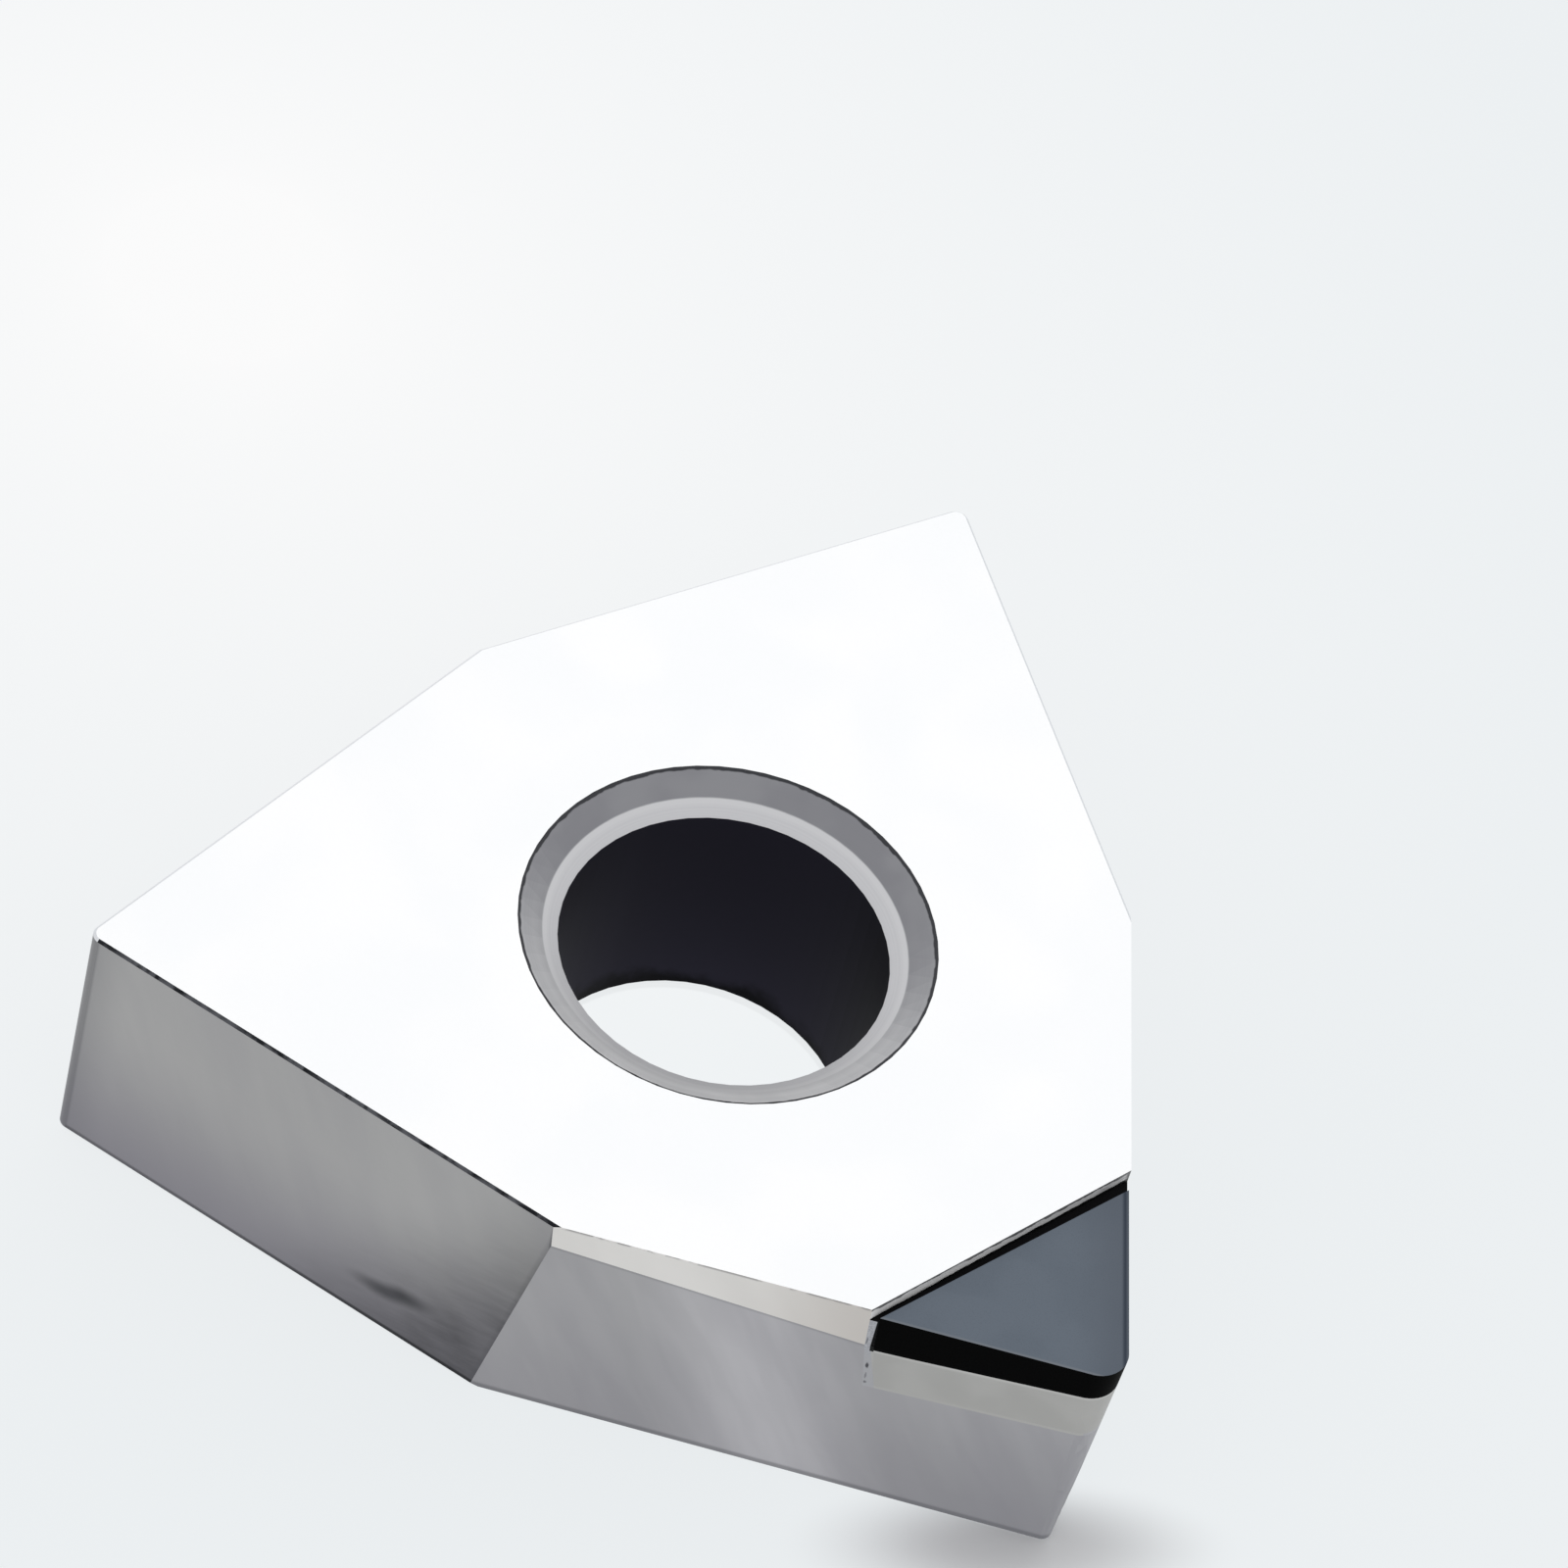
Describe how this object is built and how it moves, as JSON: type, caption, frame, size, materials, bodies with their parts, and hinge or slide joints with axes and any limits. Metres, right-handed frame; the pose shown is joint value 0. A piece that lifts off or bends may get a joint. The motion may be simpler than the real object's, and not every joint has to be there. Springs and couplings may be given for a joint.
{
  "type": "turning insert",
  "caption": "Flat trigon turning insert with a countersunk central bore and a dark diamond cutting tip brazed into a pocket in one corner.",
  "frame": {"origin": "on the clamping hole's axis, in the seating face", "axes": "+Z along the hole axis from the seating face to the top face; +X along the bisector of the tipped corner"},
  "size_m": [0.0159, 0.017, 0.0048],
  "materials": {
    "ground_carbide": "ground cemented carbide: lapped top face, satin sides",
    "backing_carbide": "ground cemented carbide, slightly warmer than the body",
    "sintered_diamond": "polycrystalline diamond: black ground edge, slate lapped top",
    "silver_braze": "silver braze alloy, dull"
  },
  "bodies": {
    "root": {"carbide_body": "ground_carbide", "tip_backing": "backing_carbide", "diamond_layer": "sintered_diamond", "braze_seam": "silver_braze"}
  },
  "joints": []
}
